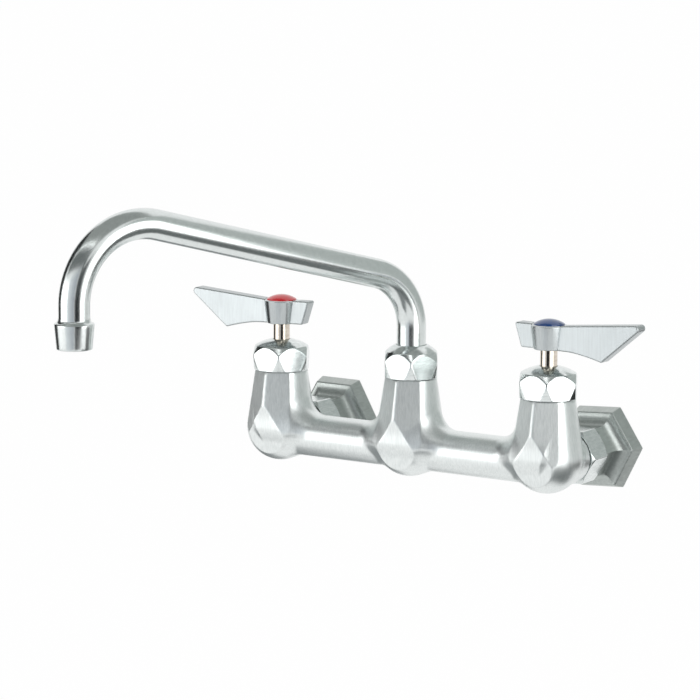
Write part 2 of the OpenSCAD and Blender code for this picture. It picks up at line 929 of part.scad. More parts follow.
module spout_straightener() {
    hole = 1.7;
    hole_circle = 5.2;
    color("gainsboro")
        at_spout()
            translate([spout_reach, 0, outlet_height + mouth_depth])
                difference() {
                    cylinder(h = straightener_height, r = spout_radius);
                    translate([0, 0, -overshoot])
                        cylinder(h = straightener_height + 2 * overshoot, r = hole);
                    for (step = [0:5])
                        rotate([0, 0, step * 60])
                            translate([hole_circle, 0, -overshoot])
                                cylinder(h = straightener_height + 2 * overshoot, r = hole);
                }
}

// Brazed to the riser: it turns in the body and carries the O-rings
module spout_ferrule() {
    groove = seal_groove_depth;
    collar_base = ferrule_top - ferrule_collar;
    color("goldenrod")
        at_spout()
            difference() {
                union() {
                    translate([0, 0, ferrule_base])
                        cylinder(h = ferrule_top - ferrule_base, r = ferrule_radius);
                    translate([0, 0, collar_base])
                        cylinder(h = ferrule_collar, r = thread_radius - thread_gap);
                }
                translate([0, 0, tube_base])
                    cylinder(h = ferrule_top, r = spout_radius + turning_gap);
                cylinder(h = ferrule_top, r = spout_radius - spout_wall);
                for (height = [lower_seal, upper_seal])
                    translate([0, 0, height - groove / 2])
                        sleeve(ferrule_radius + overshoot, ferrule_radius - groove, groove);
            }
}

module spout_seal(height) {
    color("black")
        at_spout()
            translate([0, 0, height])
                o_ring(ferrule_radius - seal_cord, seal_cord - turning_gap);
}

module spout_glide_ring() {
    color("ivory")
        translate([0, axis_y, glide_base])
            sleeve(thread_radius - thread_gap, spout_radius + pass_gap, glide_ring);
}

module spout_nut() {
    base = spout_bell_top + nut_gap;
    color("lightgray")
        translate([0, axis_y, base])
            dome_nut(
                spout_nut_across,
                spout_nut_height,
                spout_radius + pass_gap,
                spout_clamp - base,
                spout_nut_turn
            );
}

// ---- parts ----

body();
cartridge(hot);  // hot_cartridge
cartridge(cold);  // cold_cartridge
seat_washer_piece(hot);  // hot_seat_washer
seat_washer_piece(cold);  // cold_seat_washer
fixed_disc(hot);  // hot_fixed_disc
fixed_disc(cold);  // cold_fixed_disc
turning_disc(hot);  // hot_turning_disc
turning_disc(cold);  // cold_turning_disc
stem(hot);  // hot_stem
stem(cold);  // cold_stem
stem_seal(hot);  // hot_stem_seal
stem_seal(cold);  // cold_stem_seal
bonnet_seal(hot);  // hot_bonnet_seal
bonnet_seal(cold);  // cold_bonnet_seal
valve_nut(hot, hot_nut_turn);  // hot_dome_nut
valve_nut(cold, cold_nut_turn);  // cold_dome_nut
lever(hot, hot_lever_turn);  // hot_lever
lever(cold, cold_lever_turn);  // cold_lever
lever_screw(hot);  // hot_lever_screw
lever_screw(cold);  // cold_lever_screw
index_button(hot, "crimson");  // hot_index_button
index_button(cold, "royalblue");  // cold_index_button
wall_flange(hot, hot_flange_turn);  // hot_flange
wall_flange(cold, cold_flange_turn);  // cold_flange
tailpiece(hot);  // hot_tailpiece
tailpiece(cold);  // cold_tailpiece
union_washer_piece(hot);  // hot_union_washer
union_washer_piece(cold);  // cold_union_washer
union_nut(hot);  // hot_union_nut
union_nut(cold);  // cold_union_nut
spout_ferrule();
spout_seal(lower_seal);  // spout_lower_seal
spout_seal(upper_seal);  // spout_upper_seal
spout_glide_ring();
spout_nut();
spout_tube();
spout_collar();
spout_straightener();
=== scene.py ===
import math
import bmesh
import bpy
import numpy as np
from mathutils import Matrix, Vector


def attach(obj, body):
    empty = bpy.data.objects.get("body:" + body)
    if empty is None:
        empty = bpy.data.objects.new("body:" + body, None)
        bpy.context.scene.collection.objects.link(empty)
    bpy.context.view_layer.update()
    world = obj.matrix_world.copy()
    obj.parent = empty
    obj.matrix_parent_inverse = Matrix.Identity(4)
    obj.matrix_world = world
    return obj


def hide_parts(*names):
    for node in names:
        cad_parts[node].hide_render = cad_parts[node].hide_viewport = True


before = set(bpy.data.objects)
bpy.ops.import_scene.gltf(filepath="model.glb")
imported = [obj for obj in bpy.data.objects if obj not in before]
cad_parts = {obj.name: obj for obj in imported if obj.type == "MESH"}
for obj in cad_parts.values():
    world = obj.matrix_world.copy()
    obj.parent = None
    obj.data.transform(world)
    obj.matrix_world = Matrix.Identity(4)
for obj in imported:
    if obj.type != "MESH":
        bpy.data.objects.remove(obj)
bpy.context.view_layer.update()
print("frame loaded")

mm = 0.001  # the helpers for meshes all work in millimetres


def arcBetween(centre, radius, start, end, steps):
    angles = np.radians(np.linspace(start, end, steps + 1))
    return [(centre[0] + radius * math.cos(a), centre[1] + radius * math.sin(a)) for a in angles]


def roundCorners(points, radii, steps=5, closed=True):
    # swaps each corner of an outline for a short arc
    out = []
    count = len(points)
    for i, (point, radius) in enumerate(zip(points, radii)):
        if radius <= 0 or (not closed and i in (0, count - 1)):
            out.append(tuple(point))
            continue
        here = np.array(point, float)
        back = np.array(points[i - 1], float) - here
        ahead = np.array(points[(i + 1) % count], float) - here
        backLength, aheadLength = np.linalg.norm(back), np.linalg.norm(ahead)
        back, ahead = back / backLength, ahead / aheadLength
        half = math.acos(max(-1.0, min(1.0, float(back @ ahead)))) / 2
        reach = min(radius / math.tan(half), backLength * 0.49, aheadLength * 0.49)
        radius = reach * math.tan(half)
        middle = here + (back + ahead) / np.linalg.norm(back + ahead) * radius / math.sin(half)
        first, last = here + back * reach - middle, here + ahead * reach - middle
        for share in np.linspace(0, 1, steps + 1):
            spoke = first * (1 - share) + last * share
            out.append(tuple(middle + spoke / np.linalg.norm(spoke) * radius))
    return out


def fillLine(points, step, closed=True):
    # adds points so that no span is longer than the step
    out = []
    count = len(points)
    for i in range(count if closed else count - 1):
        start, end = np.array(points[i], float), np.array(points[(i + 1) % count], float)
        parts = max(1, int(math.ceil(np.linalg.norm(end - start) / step)))
        out += [tuple(start + (end - start) * k / parts) for k in range(parts)]
    if not closed:
        out.append(tuple(points[-1]))
    return out


def softMin(a, b, width):
    share = np.clip(0.5 + 0.5 * (b - a) / width, 0, 1)
    return b * (1 - share) + a * share - width * share * (1 - share)


def softMax(a, b, width):
    return -softMin(-a, -b, width)


def newPiece(name, points, faces, sharpAngle=32):
    mesh = bpy.data.meshes.new(name)
    mesh.from_pydata([tuple(p) for p in np.asarray(points, float) * mm], [], faces)
    work = bmesh.new()
    work.from_mesh(mesh)
    bmesh.ops.recalc_face_normals(work, faces=work.faces)
    work.to_mesh(mesh)
    work.free()
    piece = bpy.data.objects.new(name, mesh)
    bpy.context.scene.collection.objects.link(piece)
    smoothPiece(piece, sharpAngle)
    return piece


def smoothPiece(piece, sharpAngle=32):
    piece.data.shade_smooth()
    piece.data.set_sharp_from_angle(angle=math.radians(sharpAngle))


def skinRings(name, rings, sharpAngle=32, closedAlong=True):
    # rings is an array of rings, each with the same number of points round it
    rings = np.asarray(rings, float)
    count, around = rings.shape[:2]
    faces = []
    for i in range(count if closedAlong else count - 1):
        here, after = i * around, (i + 1) % count * around
        for j in range(around):
            k = (j + 1) % around
            faces.append((here + j, here + k, after + k, after + j))
    if not closedAlong:
        faces.append(tuple(range(around)))
        faces.append(tuple((count - 1) * around + j for j in reversed(range(around))))
    return newPiece(name, rings.reshape(-1, 3), faces, sharpAngle)


def placePoints(points, turn=0.0, move=(0, 0, 0), tilt=None):
    out = np.asarray(points, float)
    spin = Matrix.Rotation(math.radians(turn), 3, "Z")
    if tilt is not None:
        spin = tilt @ spin
    return out @ np.array(spin).T + np.array(move)


def turnedPiece(name, profile, around=96, sharpAngle=32, sides=0, flat=0.0, cornerSoft=0.012, edgeSoft=0.5,
                turn=0.0, move=(0, 0, 0), tilt=None, hexShare=None):
    # sweeps a closed profile of (radius, height) round Z; with sides, flats cut it at the given width,
    # and with hexShare each profile radius is itself the width of a hexagon
    profile = np.asarray(profile, float)
    angles = np.linspace(0, 2 * math.pi, around, endpoint=False)
    ring = np.ones(around)
    if sides:
        step = 2 * math.pi / sides
        folded = (angles + step / 2) % step - step / 2
        ring = 1 / softMax(np.cos(folded), np.cos(step - np.abs(folded)), cornerSoft)
    rings = []
    for i, (radius, height) in enumerate(profile):
        if hexShare is not None:
            share = hexShare[i]
            reach = radius * (1 - share + share * ring)
        elif sides:
            reach = softMin(np.full(around, radius), flat * ring, edgeSoft)
            if radius < flat - edgeSoft:
                reach = np.full(around, radius)
        else:
            reach = np.full(around, radius)
        level = np.full(around, height)
        rings.append(np.stack([reach * np.cos(angles), reach * np.sin(angles), level], axis=1))
    rings = np.array(rings)
    return skinRings(name, placePoints(rings, turn, move, tilt), sharpAngle)


def carve(piece, tool, operation="DIFFERENCE"):
    # cuts one mesh with another for good, and removes the tool
    step = piece.modifiers.new("cut", "BOOLEAN")
    step.operation = operation
    step.solver = "EXACT"
    step.object = tool
    applySteps(piece)
    bpy.data.objects.remove(tool)


def applySteps(piece):
    graph = bpy.context.evaluated_depsgraph_get()
    done = bpy.data.meshes.new_from_object(piece.evaluated_get(graph), depsgraph=graph)
    piece.modifiers.clear()
    piece.data = done


def finishPiece(piece, body, slotName, material, *nodes):
    piece.data.materials.clear()
    piece.data.materials.append(material)
    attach(piece, body)
    if nodes:
        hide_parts(*nodes)
    return piece


def linear(hexText):
    # shaders want linear light, so a hex colour is taken back from sRGB
    out = []
    for i in (1, 3, 5):
        value = int(hexText[i:i + 2], 16) / 255
        out.append(value / 12.92 if value <= 0.04045 else ((value + 0.055) / 1.055) ** 2.4)
    return (*out, 1.0)


def addNode(tree, kind, settings=None, links=None):
    node = tree.nodes.new(kind)
    for name, value in (settings or {}).items():
        if isinstance(name, int) or name in node.inputs:
            node.inputs[name].default_value = value
        else:
            setattr(node, name, value)
    for name, source in (links or {}).items():
        tree.links.new(source, node.inputs[name])
    return node


def startMaterial(name, shaderSettings):
    material = bpy.data.materials.new(name)
    material.use_nodes = True
    tree = material.node_tree
    shader = tree.nodes["Principled BSDF"]
    for key, value in shaderSettings.items():
        shader.inputs[key].default_value = value
    return material, tree, shader


def mottledColour(tree, look, fac, edgeWearAndSheen):
    # a cloud between two near shades, paler on sharp edges: partly rubbed wear, partly a painted edge
    # highlight
    spread = addNode(tree, "ShaderNodeMapRange", {"From Min": 0.3, "From Max": 0.7}, {"Value": fac})
    shade = addNode(tree, "ShaderNodeMix",
                    {"data_type": "RGBA", 6: linear(look["dark"]), 7: linear(look["pale"])},
                    {0: spread.outputs["Result"]})
    edge = addNode(tree, "ShaderNodeNewGeometry")
    # the paler colour on convex edges is a painted edge highlight as well as wear
    edgeWearAndSheenMask = addNode(tree, "ShaderNodeMapRange", {"From Min": 0.53, "From Max": 0.60, "To Max": edgeWearAndSheen},
                   {"Value": edge.outputs["Pointiness"]})
    return addNode(tree, "ShaderNodeMix", {"data_type": "RGBA", 7: linear(look["edge"])},
                   {0: edgeWearAndSheenMask.outputs["Result"], 6: shade.outputs[2]})


def brushedPlate(name, look):
    # satin plating over brass: wavy scratches along one axis, a soft cloud of polish, and brighter edges that
    # are partly wear and partly a painted highlight
    material, tree, shader = startMaterial(name, {"Metallic": 1.0})
    place = addNode(tree, "ShaderNodeTexCoord")
    stretch = addNode(tree, "ShaderNodeMapping", {"Scale": look["grainScale"]},
                      {"Vector": place.outputs["Object"]})
    grain = addNode(tree, "ShaderNodeTexNoise",
                    {"Scale": 1.0, "Detail": 3.0, "Roughness": 0.6, "Distortion": 0.5},
                    {"Vector": stretch.outputs["Vector"]})
    fine = addNode(tree, "ShaderNodeVectorMath", {"operation": "SCALE", "Scale": look["fineShare"]},
                   {0: stretch.outputs["Vector"]})
    hair = addNode(tree, "ShaderNodeTexNoise", {"Scale": 1.0, "Detail": 2.0, "Roughness": 0.5},
                   {"Vector": fine.outputs["Vector"]})
    cloud = addNode(tree, "ShaderNodeTexNoise", {"Scale": 45.0, "Detail": 2.0},
                    {"Vector": place.outputs["Object"]})
    bright = mottledColour(tree, look, grain.outputs["Fac"], look["edgeWearAndSheen"])
    tree.links.new(bright.outputs[2], shader.inputs["Base Color"])
    mixed = addNode(tree, "ShaderNodeMath", {"operation": "MULTIPLY_ADD", 1: 0.6},
                    {0: hair.outputs["Fac"], 2: cloud.outputs["Fac"]})
    rough = addNode(tree, "ShaderNodeMapRange",
                    {"From Min": 0.5, "From Max": 1.1, "To Min": look["roughness"] - look["spread"],
                     "To Max": look["roughness"] + look["spread"]}, {"Value": mixed.outputs[0]})
    flats = addNode(tree, "ShaderNodeAttribute", {"attribute_name": "flats"})
    if look["flatRough"]:
        more = addNode(tree, "ShaderNodeMath", {"operation": "MULTIPLY_ADD", 1: look["flatRough"]},
                       {0: flats.outputs["Fac"], 2: rough.outputs["Result"]})
        tree.links.new(more.outputs[0], shader.inputs["Roughness"])
    else:
        tree.links.new(rough.outputs["Result"], shader.inputs["Roughness"])
    depth = addNode(tree, "ShaderNodeMath",
                    {"operation": "MULTIPLY_ADD", 1: look["flatBump"], 2: look["bump"]},
                    {0: flats.outputs["Fac"]})
    coarse = addNode(tree, "ShaderNodeBump", {"Distance": 0.0001},
                     {"Height": grain.outputs["Fac"], "Strength": depth.outputs[0]})
    scratch = addNode(tree, "ShaderNodeBump", {"Strength": look["hair"], "Distance": 0.00003},
                      {"Height": hair.outputs["Fac"], "Normal": coarse.outputs["Normal"]})
    tree.links.new(scratch.outputs["Normal"], shader.inputs["Normal"])
    return material


# the plating is a cool silver; satin where the belt left it, brighter where it was buffed round, and its edge
# colour paints a highlight along sharp edges as well as wear
plate = {"dark": "#D0D6D5", "pale": "#E4E9E8", "edge": "#F6F8F8", "flatRough": 0.0, "flatBump": 0.0,
         "fineShare": 4.0}
castLook = dict(plate, dark="#DEE3E2", pale="#F0F4F3", roughness=0.35, spread=0.03, edgeWearAndSheen=0.5, bump=0.02,
                hair=0.10, grainScale=(1100.0, 1100.0, 70.0), flatRough=0.12, flatBump=0.8)
castPlate = brushedPlate("satinPlatedCastBrass", castLook)
tubeLook = dict(plate, dark="#D9DEDD", pale="#E0E5E4", roughness=0.2, spread=0.01, edgeWearAndSheen=0.0, bump=0.0,
                hair=0.02, grainScale=(300.0, 300.0, 300.0))
tubePlate = brushedPlate("satinPolishedTube", tubeLook)
nutLook = dict(plate, roughness=0.16, spread=0.04, edgeWearAndSheen=0.6, bump=0.05, hair=0.25,
               grainScale=(200.0, 200.0, 900.0))
nutPlate = brushedPlate("satinPlatedTurnedBrass", nutLook)
leverLook = dict(plate, dark="#B8BDBE", pale="#C2C8C9", edge="#E2E6E6", roughness=0.17, spread=0.03, edgeWearAndSheen=0.3,
                 bump=0.03, hair=0.12, grainScale=(1000.0, 1000.0, 60.0), flatRough=0.20)
leverPlate = brushedPlate("satinPlatedGroundBrass", leverLook)
flangeLook = dict(plate, dark="#AEB4B1", pale="#BEC4C1", edge="#E0E4E2", roughness=0.40, spread=0.03, edgeWearAndSheen=0.4,
                  bump=0.03, hair=0.12, grainScale=(700.0, 70.0, 700.0))
flangePlate = brushedPlate("satinBrushedFlangeBrass", flangeLook)
stemLook = dict(plate, dark="#C9BEB0", pale="#DDD4C8", edge="#F5EFE6", roughness=0.1, spread=0.03, edgeWearAndSheen=0.0,
                bump=0.03, hair=0.15, grainScale=(200.0, 200.0, 900.0))
stemPlate = brushedPlate("polishedNickelStem", stemLook)
brassLook = dict(plate, dark="#A88645", pale="#C4A35E", edge="#E3CC92", roughness=0.27, spread=0.05, edgeWearAndSheen=0.5,
                 bump=0.05, hair=0.2, grainScale=(200.0, 200.0, 900.0))
turnedBrass = brushedPlate("oiledTurnedBrass", brassLook)
steelLook = dict(plate, dark="#8F9498", pale="#A9AEB2", edge="#C9CDD0", roughness=0.3, spread=0.05, edgeWearAndSheen=0.4,
                 bump=0.05, hair=0.2, grainScale=(200.0, 200.0, 900.0))
screwSteel = brushedPlate("stainlessScrewSteel", steelLook)


def mouldedGloss(name, hexText):
    # injection-moulded acrylic cap, so a clear gloss over an even colour
    acrylic = {"Base Color": linear(hexText), "Roughness": 0.09, "IOR": 1.49, "Coat Weight": 0.5,
               "Coat Roughness": 0.04}
    material, tree, shader = startMaterial(name, acrylic)
    place = addNode(tree, "ShaderNodeTexCoord")
    cloud = addNode(tree, "ShaderNodeTexNoise", {"Scale": 900.0, "Detail": 2.0},
                    {"Vector": place.outputs["Object"]})
    bump = addNode(tree, "ShaderNodeBump", {"Strength": 0.05, "Distance": 0.00005},
                   {"Height": cloud.outputs["Fac"]})
    tree.links.new(bump.outputs["Normal"], shader.inputs["Normal"])
    return material


buttonRed = mouldedGloss("mouldedRedAcrylic", "#B8101C")
buttonBlue = mouldedGloss("mouldedBlueAcrylic", "#0A3468")


def plainSolid(name, look):
    # seals, discs and rings: an even body with a faint mottle, paler on its edges, partly rubbed wear and
    # partly a painted highlight
    material, tree, shader = startMaterial(name, {})
    place = addNode(tree, "ShaderNodeTexCoord")
    mottle = addNode(tree, "ShaderNodeTexNoise", {"Scale": look["grain"], "Detail": 3.0},
                     {"Vector": place.outputs["Object"]})
    # how far the edges turn paler, as wear and as a painted edge highlight
    edgeWearAndSheen, spread = 0.4, 0.06
    body = mottledColour(tree, look, mottle.outputs["Fac"], edgeWearAndSheen)
    tree.links.new(body.outputs[2], shader.inputs["Base Color"])
    rough = addNode(tree, "ShaderNodeMapRange",
                    {"To Min": look["roughness"] - spread, "To Max": look["roughness"] + spread},
                    {"Value": mottle.outputs["Fac"]})
    tree.links.new(rough.outputs["Result"], shader.inputs["Roughness"])
    bump = addNode(tree, "ShaderNodeBump", {"Strength": look["bump"], "Distance": 0.0001},
                   {"Height": mottle.outputs["Fac"]})
    tree.links.new(bump.outputs["Normal"], shader.inputs["Normal"])
    return material


# lapped alumina is a warm white with a soft gleam
ceramicLook = {"dark": "#E4E0D4", "pale": "#F0EDE4", "edge": "#F7F5EF", "grain": 700.0, "roughness": 0.22,
               "bump": 0.05}
discCeramic = plainSolid("lappedAluminaCeramic", ceramicLook)
# moulded nitrile is near black and dull
rubberLook = {"dark": "#19191A", "pale": "#262628", "edge": "#3A3A3C", "grain": 500.0, "roughness": 0.62,
              "bump": 0.2}
sealRubber = plainSolid("mouldedNitrileRubber", rubberLook)
# pressed fibre is a chalky red brown
fibreLook = {"dark": "#6E3225", "pale": "#8C4A36", "edge": "#A5654E", "grain": 350.0, "roughness": 0.8,
             "bump": 0.4}
washerFibre = plainSolid("redVulcanisedFibre", fibreLook)
# machined acetal is smooth and slightly waxy
glideLook = {"dark": "#E3E3DD", "pale": "#EFEFEA", "edge": "#F6F6F2", "grain": 300.0, "roughness": 0.38,
             "bump": 0.1}
glideAcetal = plainSolid("whiteAcetalRing", glideLook)
insertLook = dict(glideLook, dark="#C4C8CA", pale="#D4D8DA", edge="#E4E7E8", roughness=0.42)
straightenerAcetal = plainSolid("greyAcetalInsert", insertLook)
print("materials made")


# the cast body: lengths in millimetres, angles in degrees
casting = {"inletSpacing": 203.2, "wallReach": 72.7, "ballRadius": 22.9, "ballHeight": 4.0, "taper": 8.5,
           "valveTop": 42.1, "spoutTop": 46.0, "facetInset": 1.1, "facetTurn": 30.0, "gemDepth": 4.9,
           "gemLean": 11.5, "ridgeRoom": 3.0, "ridgeAside": 42, "ridgeFade": 7, "topSoft": 0.3,
           "tubeRadius": 14.0, "fillet": 12.0, "lowFillet": 3.0, "filletStart": -8, "filletSpan": 13,
           "bossRadius": 17.0, "bossEnd": 46.7, "bossFillet": 5.0, "bossLowFillet": 2.0, "neckRadius": 14.4,
           "neckHeight": 11.0, "unionRadius": 13.4, "unionEnd": 40.6, "edgeSoft": 0.15, "meshSize": 0.8,
           "quickShare": 1.6}
valveX = casting["inletSpacing"] / 2
axisY = -casting["wallReach"]


def bellForm(x, y, z, top):
    c = casting
    lean = math.radians(c["taper"])
    gem = math.radians(c["gemLean"])
    turn = math.radians(c["facetTurn"])
    radius = np.hypot(x, y)
    up = z - c["ballHeight"]
    onCone = -radius * math.sin(lean) + up * math.cos(lean) > 0
    ball = np.hypot(radius, up) - c["ballRadius"]
    cone = radius * math.cos(lean) + up * math.sin(lean) - c["ballRadius"]
    out = np.where(onCone, cone, ball)
    # room in front of the cone, which the facets then cut down to a ridge
    aside = np.degrees(np.arctan2(np.abs(x), -y))
    climb = -radius * math.sin(lean) + up * math.cos(lean)
    room = c["ridgeRoom"]
    out = out - room * np.clip((c["ridgeAside"] - aside) / c["ridgeFade"], 0, 1) * np.clip(climb / room, 0, 1)
    footRadius = (c["ballRadius"] + c["ballHeight"] * math.sin(lean)) / math.cos(lean)
    for side in (-1, 1):
        ahead = -y * math.cos(turn) + side * x * math.sin(turn)
        facet = (ahead - footRadius + c["facetInset"]) * math.cos(lean) + z * math.sin(lean)
        out = softMax(out, facet, c["edgeSoft"])
    front = (-y - c["ballRadius"] + c["gemDepth"]) * math.cos(gem) - z * math.sin(gem)
    out = softMax(out, front, c["edgeSoft"])
    return softMax(out, z - top, c["topSoft"])


def joinRound(a, b, radius):
    # joins two forms with a fillet; the radius may differ from point to point
    hollow = np.hypot(np.maximum(radius - a, 0), np.maximum(radius - b, 0))
    return np.maximum(radius, np.minimum(a, b)) - hollow


def castingForm(points):
    c = casting
    x, y, z = points[:, 0], points[:, 1] - axisY, points[:, 2]
    farAway = 1e3
    bells = np.full(len(x), farAway)
    necks = np.full(len(x), farAway)
    for centre, top in ((-valveX, c["valveTop"]), (0.0, c["spoutTop"]), (valveX, c["valveTop"])):
        bells = np.minimum(bells, bellForm(x - centre, y, z, top))
        neck = np.maximum(np.hypot(x - centre, y) - c["neckRadius"], z - top - c["neckHeight"])
        necks = np.minimum(necks, np.maximum(neck, 0 - z))
    tube = np.maximum(np.hypot(y, z) - c["tubeRadius"], np.abs(x) - valveX)
    # the mould's lower half has tight fillets, its upper half generous ones
    rise = np.clip((z - c["filletStart"]) / c["filletSpan"], 0, 1)
    rise = rise * rise * (3 - 2 * rise)
    out = joinRound(bells, tube, c["lowFillet"] + (c["fillet"] - c["lowFillet"]) * rise)
    aside = np.abs(x) - valveX
    boss = np.hypot(aside, z) - c["bossRadius"]
    boss = np.maximum(np.maximum(boss, y + axisY + c["bossEnd"]), -y)
    out = joinRound(out, boss, c["bossLowFillet"] + (c["bossFillet"] - c["bossLowFillet"]) * rise)
    union = np.maximum(np.maximum(np.hypot(aside, z) - c["unionRadius"], y + axisY + c["unionEnd"]), -y)
    return np.minimum(np.minimum(out, necks), union)


def flatShare(points):
    # 1 on the ground facets of the bells, 0 elsewhere
    reach, lowest, behind, nearlyFacing, fade = 0.3, -12, 8, 0.985, 0.01
    normals = np.zeros_like(points)
    for axis in range(3):
        shift = np.zeros(3)
        shift[axis] = reach
        normals[:, axis] = castingForm(points + shift) - castingForm(points - shift)
    normals /= np.maximum(np.linalg.norm(normals, axis=1), 1e-6)[:, None]
    lean = math.radians(casting["taper"])
    turn = math.radians(casting["facetTurn"])
    best = np.zeros(len(points))
    for side in (-1, 1):
        facing = np.array([side * math.sin(turn) * math.cos(lean), -math.cos(turn) * math.cos(lean),
                           math.sin(lean)])
        best = np.maximum(best, normals @ facing)
    onBell = (points[:, 2] > lowest) & (points[:, 1] < axisY - behind)
    return np.where(onBell, np.clip((best - nearlyFacing) / fade, 0, 1), 0)


def fitToForm(points, links, form, rounds=8, relax=0.35):
    # walks the points onto the form, evening out the mesh on the way
    reach, leastSlope = 0.02, 0.05
    first, second = links[:, 0], links[:, 1]
    count = np.bincount(first, minlength=len(points)) + np.bincount(second, minlength=len(points))
    for turnIndex in range(rounds):
        for pull in range(2):
            value = form(points)
            slope = np.zeros_like(points)
            for axis in range(3):
                shift = np.zeros(3)
                shift[axis] = reach
                slope[:, axis] = (form(points + shift) - form(points - shift)) / (2 * reach)
            size = np.maximum((slope ** 2).sum(axis=1), leastSlope)
            points = points - slope * (value / size)[:, None]
        if turnIndex < rounds - 2:
            total = np.zeros_like(points)
            np.add.at(total, first, points[second])
            np.add.at(total, second, points[first])
            points = points + relax * (total / count[:, None] - points)
    return points


def addRod(work, place, low, high, length):
    bmesh.ops.create_cone(work, cap_ends=True, segments=48, radius1=low, radius2=high, depth=length,
                          matrix=place)


def makeCasting():
    # rough solids, remeshed into one skin, which is then walked onto the exact form
    c = casting
    ballInset, footInset, coneTop = 0.6, 0.8, 17.2
    work = bmesh.new()
    for centre, top in ((-valveX, c["valveTop"]), (0.0, c["spoutTop"]), (valveX, c["valveTop"])):
        place = Matrix.Translation((centre, axisY, c["ballHeight"]))
        bmesh.ops.create_uvsphere(work, u_segments=48, v_segments=24, radius=c["ballRadius"] - ballInset,
                                  matrix=place)
        height = top - c["ballHeight"]
        place = Matrix.Translation((centre, axisY, c["ballHeight"] + height / 2))
        addRod(work, place, c["ballRadius"] - footInset, coneTop, height)
        place = Matrix.Translation((centre, axisY, top + c["neckHeight"] / 2 - 1))
        addRod(work, place, c["neckRadius"], c["neckRadius"], c["neckHeight"] + 2)
    alongX, alongY = Matrix.Rotation(math.pi / 2, 4, "Y"), Matrix.Rotation(math.pi / 2, 4, "X")
    addRod(work, Matrix.Translation((0, axisY, 0)) @ alongX, c["tubeRadius"], c["tubeRadius"], 2 * valveX)
    for side in (-1, 1):
        for radius, end in ((c["bossRadius"], c["bossEnd"]), (c["unionRadius"], c["unionEnd"])):
            length = -axisY - end
            place = Matrix.Translation((side * valveX, axisY + length / 2, 0)) @ alongY
            addRod(work, place, radius, radius, length)
    mesh = bpy.data.meshes.new("bodyCasting")
    work.to_mesh(mesh)
    work.free()
    piece = bpy.data.objects.new("bodyCasting", mesh)
    bpy.context.scene.collection.objects.link(piece)
    step = piece.modifiers.new("even", "REMESH")
    step.mode = "VOXEL"
    step.voxel_size = c["meshSize"] * 1.0
    applySteps(piece)
    mesh = piece.data
    points = np.zeros(len(mesh.vertices) * 3)
    mesh.vertices.foreach_get("co", points)
    links = np.zeros(len(mesh.edges) * 2, int)
    mesh.edges.foreach_get("vertices", links)
    points = fitToForm(points.reshape(-1, 3), links.reshape(-1, 2), castingForm)
    mesh.vertices.foreach_set("co", (points * mm).ravel())
    mesh.update()
    flats = mesh.attributes.new("flats", "FLOAT", "POINT")
    flats.data.foreach_set("value", flatShare(points))
    smoothPiece(piece, 40)
    print("casting fitted:", len(mesh.vertices), "points")
    return piece


finishPiece(makeCasting(), "faucet", "plated_casting", castPlate, "body")


def domeNutProfile(n):
    # the corners swell to the waist, and a ball closes the nut from the crown to the rim of its hole
    corner = n["flat"] / math.cos(math.pi / 6)
    waist, crown = n["height"] * n["waistShare"], n["height"] * n["crownShare"]
    crownRadius = n["flat"] - n["ease"]
    rim = n["hole"] + 1.0
    drop = (crownRadius ** 2 - rim ** 2 + crown ** 2 - n["height"] ** 2) / (2 * (crown - n["height"]))
    ball = math.hypot(rim, n["height"] - drop)
    outer = [(corner - n["bevel"], 0.0), (corner + n["ease"], waist), (crownRadius, crown)]
    for share in np.linspace(0.08, 1, 14):
        radius = crownRadius + (rim - crownRadius) * share
        outer.append((radius, drop + math.sqrt(ball ** 2 - radius ** 2)))
    outer += [(n["hole"], n["height"]), (n["hole"], n["clamp"]), (n["bore"], n["clamp"]), (n["bore"], 0.0)]
    radii = [0.35, 0.0, 0.9] + [0.0] * 13 + [0.2, 0.2, 0.0, 0.2, 0.2]
    return fillLine(roundCorners(outer, radii, 4), 0.4)


valveNut = {"flat": 17.8, "height": 20.1, "hole": 5.8, "clamp": 12.9, "bevel": 1.7, "bore": 14.55,
            "waistShare": 0.5, "crownShare": 0.79, "ease": 0.25}
spoutNut = dict(valveNut, flat=17.0, height=21.1, hole=9.83, clamp=14.3)
# each with its node, sizes, place across, foot above the axis, and turn in degrees
nutSpecs = (("hotDomeNut", "hot_dome_nut", valveNut, -valveX, 42.6, -1.6),
            ("coldDomeNut", "cold_dome_nut", valveNut, valveX, 42.6, -4.1),
            ("spoutDomeNut", "spout_nut", spoutNut, 0.0, 46.5, 1.5))
for name, node, sizes, x, base, turn in nutSpecs:
    nut = turnedPiece(name, domeNutProfile(sizes), around=180, sides=6, flat=sizes["flat"], edgeSoft=0.35,
                      turn=turn + 30, move=(x, axisY, base), sharpAngle=60)
    finishPiece(nut, "faucet", "plated_nut", nutPlate, node)
print("dome nuts made")


# lever sizes from the foot of the hub, with the blade along X; the stub is the short end behind the hub
lever = {"hubBase": 73.4, "hubHeight": 15.6, "rimHeight": 15.05, "hubLow": 9.9, "hubTop": 11.75,
         "rimTop": 10.3, "bladeStart": 8.0, "bladeTop": 15.55, "tipReach": 70.5, "tipTop": 21.0,
         "tipRadius": 2.5, "cornerReach": 39.8, "cornerDrop": 5.0, "underStart": 5.0, "sink": 0.25,
         "stubReach": 22.7, "stubTop": 15.95, "stubSlant": 4.9, "stubLift": 0.2, "thickness": 8.9,
         "flare": 0.02, "edgeRound": 1.0, "recessRadius": 8.6, "recessFloor": 10.0, "seatRadius": 11.5,
         "socketRadius": 5.55, "socketTop": 7.9, "screwHole": 2.15, "duller": 0.3, "hotTurn": 180 + 5.4,
         "coldTurn": -0.6}


